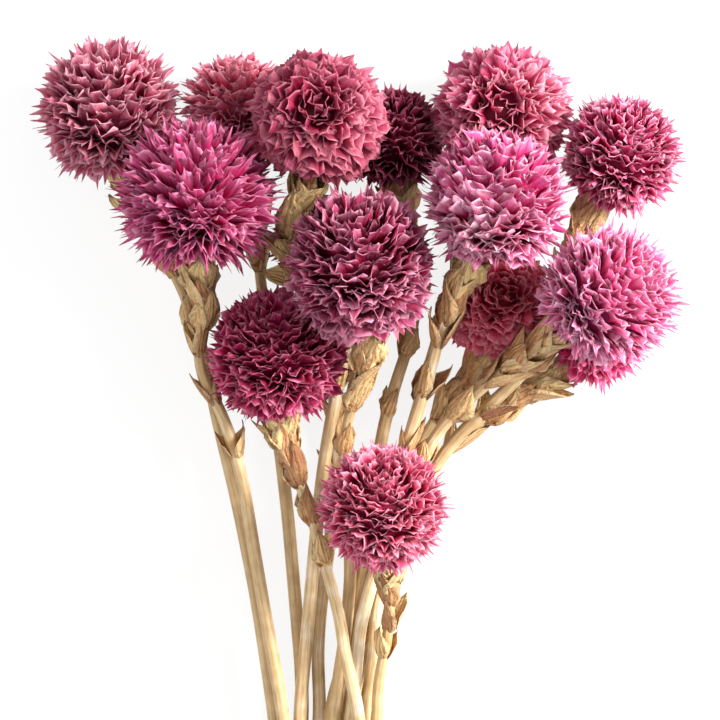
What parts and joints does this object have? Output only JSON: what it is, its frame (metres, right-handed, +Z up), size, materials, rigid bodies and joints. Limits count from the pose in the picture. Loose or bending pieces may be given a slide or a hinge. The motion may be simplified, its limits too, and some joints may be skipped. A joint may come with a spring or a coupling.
{
  "type": "bunch of dried globe amaranth",
  "caption": "Tied bunch of dried globe amaranth lying on its side, with round magenta heads of pointed papery bracts on straw stems with dry sheath leaves.",
  "frame": {"origin": "on the surface that the bunch lies on, under the middle of its bounding box", "axes": "+Y along the bunch towards its flower heads, +Z up off the surface, +X to the right when looking down with the heads at the top"},
  "size_m": [0.1494, 0.2961, 0.0566],
  "materials": {
    "straw": "dry plant stem and papery leaf, matt",
    "twine": "twisted natural fibre",
    "bracts_01": "dry papery bracts, matt with a faint sheen",
    "bracts_02": "dry papery bracts, matt with a faint sheen",
    "bracts_03": "dry papery bracts, matt with a faint sheen",
    "bracts_04": "dry papery bracts, matt with a faint sheen",
    "bracts_05": "dry papery bracts, matt with a faint sheen",
    "bracts_06": "dry papery bracts, matt with a faint sheen",
    "bracts_07": "dry papery bracts, matt with a faint sheen",
    "bracts_08": "dry papery bracts, matt with a faint sheen",
    "bracts_09": "dry papery bracts, matt with a faint sheen",
    "bracts_10": "dry papery bracts, matt with a faint sheen",
    "bracts_11": "dry papery bracts, matt with a faint sheen",
    "bracts_12": "dry papery bracts, matt with a faint sheen",
    "bracts_13": "dry papery bracts, matt with a faint sheen",
    "bracts_14": "dry papery bracts, matt with a faint sheen",
    "bracts_15": "dry papery bracts, matt with a faint sheen"
  },
  "bodies": {
    "root": {"head_01": "bracts_01", "head_02": "bracts_02", "head_03": "bracts_03", "head_04": "bracts_04", "head_05": "bracts_05", "head_06": "bracts_06", "head_07": "bracts_07", "head_08": "bracts_08", "head_09": "bracts_09", "head_10": "bracts_10", "head_11": "bracts_11", "head_12": "bracts_12", "head_13": "bracts_13", "head_14": "bracts_14", "head_15": "bracts_15", "stem_01": "straw", "stem_02": "straw", "stem_03": "straw", "stem_04": "straw", "stem_05": "straw", "stem_06": "straw", "stem_07": "straw", "stem_08": "straw", "stem_09": "straw", "stem_10": "straw", "stem_11": "straw", "stem_12": "straw", "stem_13": "straw", "stem_14": "straw", "stem_15": "straw", "tie": "twine"}
  },
  "joints": []
}
